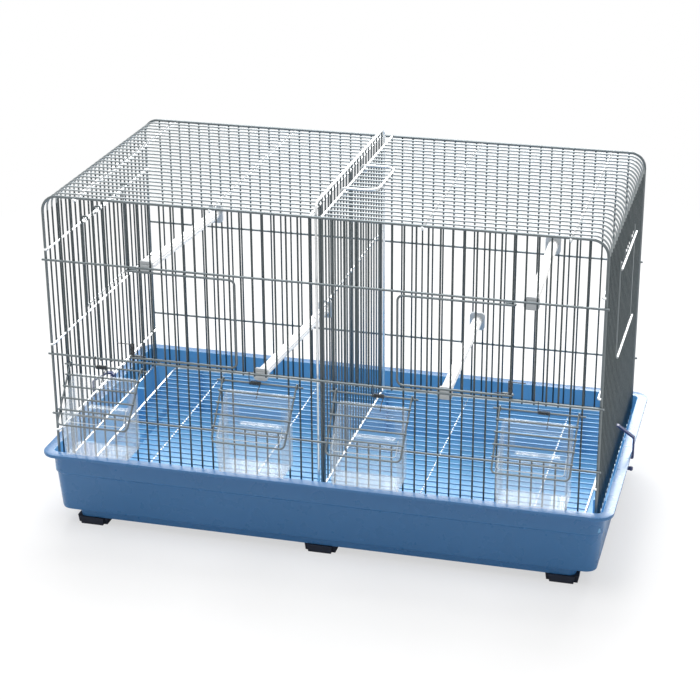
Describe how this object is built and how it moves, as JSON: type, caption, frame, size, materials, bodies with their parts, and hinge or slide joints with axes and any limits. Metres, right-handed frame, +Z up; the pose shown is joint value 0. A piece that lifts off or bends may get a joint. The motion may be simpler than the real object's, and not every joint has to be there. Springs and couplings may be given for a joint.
{
  "type": "bird breeding cage",
  "caption": "Wide wire cage for small birds on a plastic tray, with front doors, outside feeder cups behind sprung flaps, side nest doors, a lift-out divider and perches.",
  "frame": {"origin": "on the ground under the centre of the product's bounding box", "axes": "+X to the right seen from the front, +Y to the back, +Z up"},
  "size_m": [0.645, 0.3734, 0.403],
  "materials": {
    "tray_blue": "satin moulded plastic",
    "foot_navy": "matt dark rubber",
    "clip_blue": "satin dark plastic",
    "zinc_wire": "galvanised wire",
    "spring_steel": "drawn spring wire",
    "clear_plastic": "clear glossy plastic",
    "perch_white": "ribbed white plastic"
  },
  "bodies": {
    "cage": {"tray": "tray_blue", "foot_1": "foot_navy", "foot_2": "foot_navy", "foot_3": "foot_navy", "foot_4": "foot_navy", "foot_5": "foot_navy", "foot_6": "foot_navy", "tray_stud_left": "clip_blue", "tray_stud_right": "clip_blue", "floor_grille": "zinc_wire", "front_panel": "zinc_wire", "back_panel": "zinc_wire", "side_left": "zinc_wire", "side_right": "zinc_wire", "cup_1": "clear_plastic", "cup_2": "clear_plastic", "cup_3": "clear_plastic", "cup_4": "clear_plastic", "perch_1": "perch_white", "perch_2": "perch_white", "perch_3": "perch_white", "perch_4": "perch_white", "door_spring_left": "spring_steel", "door_spring_right": "spring_steel", "flap_spring_1": "spring_steel", "flap_spring_2": "spring_steel", "flap_spring_3": "spring_steel", "flap_spring_4": "spring_steel"},
    "front_door_left": {"front_door_left": "zinc_wire"},
    "front_door_right": {"front_door_right": "zinc_wire"},
    "flap_1": {"flap_1": "zinc_wire"},
    "flap_2": {"flap_2": "zinc_wire"},
    "flap_3": {"flap_3": "zinc_wire"},
    "flap_4": {"flap_4": "zinc_wire"},
    "nest_door_left": {"nest_door_left": "zinc_wire"},
    "nest_door_right": {"nest_door_right": "zinc_wire"},
    "divider": {"divider": "zinc_wire"},
    "handle": {"handle": "zinc_wire"},
    "clip_left": {"clip_left": "clip_blue"},
    "clip_right": {"clip_right": "clip_blue"}
  },
  "joints": [
    {"name": "front_door_left_hinge", "type": "hinge", "parent": "cage", "child": "front_door_left", "pos_m": [-0.20625, -0.1348, 0.2125], "axis": [0, 0, -1], "range_deg": [0, 150], "stiffness_Nm_per_rad": 0.01, "springref_deg": -20.05, "deforming": ["door_spring_left"]},
    {"name": "front_door_right_hinge", "type": "hinge", "parent": "cage", "child": "front_door_right", "pos_m": [0.20625, -0.1348, 0.2125], "axis": [0, 0, 1], "range_deg": [0, 150], "stiffness_Nm_per_rad": 0.01, "springref_deg": -20.05, "deforming": ["door_spring_right"]},
    {"name": "flap_1_hinge", "type": "hinge", "parent": "cage", "child": "flap_1", "pos_m": [-0.2375, -0.1366, 0.197], "axis": [-1, 0, 0], "range_deg": [0, 56], "stiffness_Nm_per_rad": 0.01, "springref_deg": -20.05, "deforming": ["flap_spring_1"]},
    {"name": "flap_2_hinge", "type": "hinge", "parent": "cage", "child": "flap_2", "pos_m": [-0.0625, -0.1366, 0.197], "axis": [-1, 0, 0], "range_deg": [0, 56], "stiffness_Nm_per_rad": 0.01, "springref_deg": -20.05, "deforming": ["flap_spring_2"]},
    {"name": "flap_3_hinge", "type": "hinge", "parent": "cage", "child": "flap_3", "pos_m": [0.0625, -0.1366, 0.197], "axis": [-1, 0, 0], "range_deg": [0, 56], "stiffness_Nm_per_rad": 0.01, "springref_deg": -20.05, "deforming": ["flap_spring_3"]},
    {"name": "flap_4_hinge", "type": "hinge", "parent": "cage", "child": "flap_4", "pos_m": [0.2375, -0.1366, 0.197], "axis": [-1, 0, 0], "range_deg": [0, 56], "stiffness_Nm_per_rad": 0.01, "springref_deg": -20.05, "deforming": ["flap_spring_4"]},
    {"name": "nest_door_left_hinge", "type": "hinge", "parent": "cage", "child": "nest_door_left", "pos_m": [-0.29695, 0.0187, 0.328], "axis": [0, 1, 0], "range_deg": [0, 95]},
    {"name": "nest_door_right_hinge", "type": "hinge", "parent": "cage", "child": "nest_door_right", "pos_m": [0.29695, 0.0187, 0.328], "axis": [0, -1, 0], "range_deg": [0, 95]},
    {"name": "divider_slide", "type": "slide", "parent": "cage", "child": "divider", "axis": [0, 0, 1], "range_m": [0, 0.3]},
    {"name": "handle_hinge", "type": "hinge", "parent": "cage", "child": "handle", "pos_m": [0.00625, 0.00028, 0.3875], "axis": [0, -1, 0], "range_deg": [0, 75]},
    {"name": "clip_left_hinge", "type": "hinge", "parent": "cage", "child": "clip_left", "pos_m": [-0.29695, 0.0187, 0.117], "axis": [0, 1, 0], "range_deg": [0, 90]},
    {"name": "clip_right_hinge", "type": "hinge", "parent": "cage", "child": "clip_right", "pos_m": [0.29695, 0.0187, 0.117], "axis": [0, -1, 0], "range_deg": [0, 90]}
  ]
}
